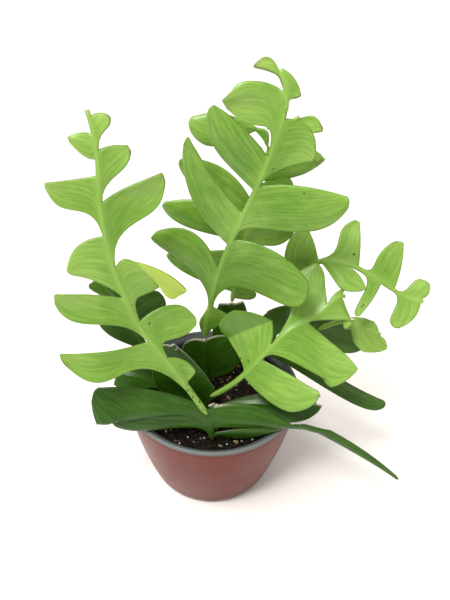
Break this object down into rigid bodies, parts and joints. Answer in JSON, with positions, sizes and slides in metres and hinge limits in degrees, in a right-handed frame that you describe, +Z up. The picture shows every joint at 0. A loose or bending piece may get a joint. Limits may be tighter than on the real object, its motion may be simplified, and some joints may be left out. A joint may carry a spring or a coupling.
{
  "type": "potted fern leaf cactus",
  "caption": "Potted fern leaf cactus: dark rooted stem cuttings and tall, deeply lobed pale green shoots in a round tapered nursery pot with a rolled rim.",
  "frame": {"origin": "centre of the pot's underside, on the surface that it stands on, on the pot's axis", "axes": "+Z up along the pot's axis; -Y towards the plant's open front; +X to the right seen from the front"},
  "size_m": [0.2706, 0.1498, 0.366],
  "materials": {
    "pot_plastic": "satin dusty red-brown, grey rim and inside",
    "potting_mix": "loose dark peat and bark with pale grains",
    "old_stem": "waxy satin, dark green",
    "young_stem": "waxy satin, pale yellow-green"
  },
  "bodies": {
    "root": {"pot": "pot_plastic", "soil": "potting_mix", "cutting_front": "old_stem", "cutting_left": "old_stem", "cutting_centre": "old_stem", "cutting_low_right": "old_stem", "cutting_back_left": "old_stem", "cutting_low_left": "old_stem", "cutting_back": "old_stem", "cutting_right": "old_stem", "shoot_left": "young_stem", "shoot_centre": "young_stem", "shoot_front_right": "young_stem", "shoot_back_right": "young_stem", "shoot_back": "young_stem", "shoot_far_right": "young_stem"}
  },
  "joints": []
}
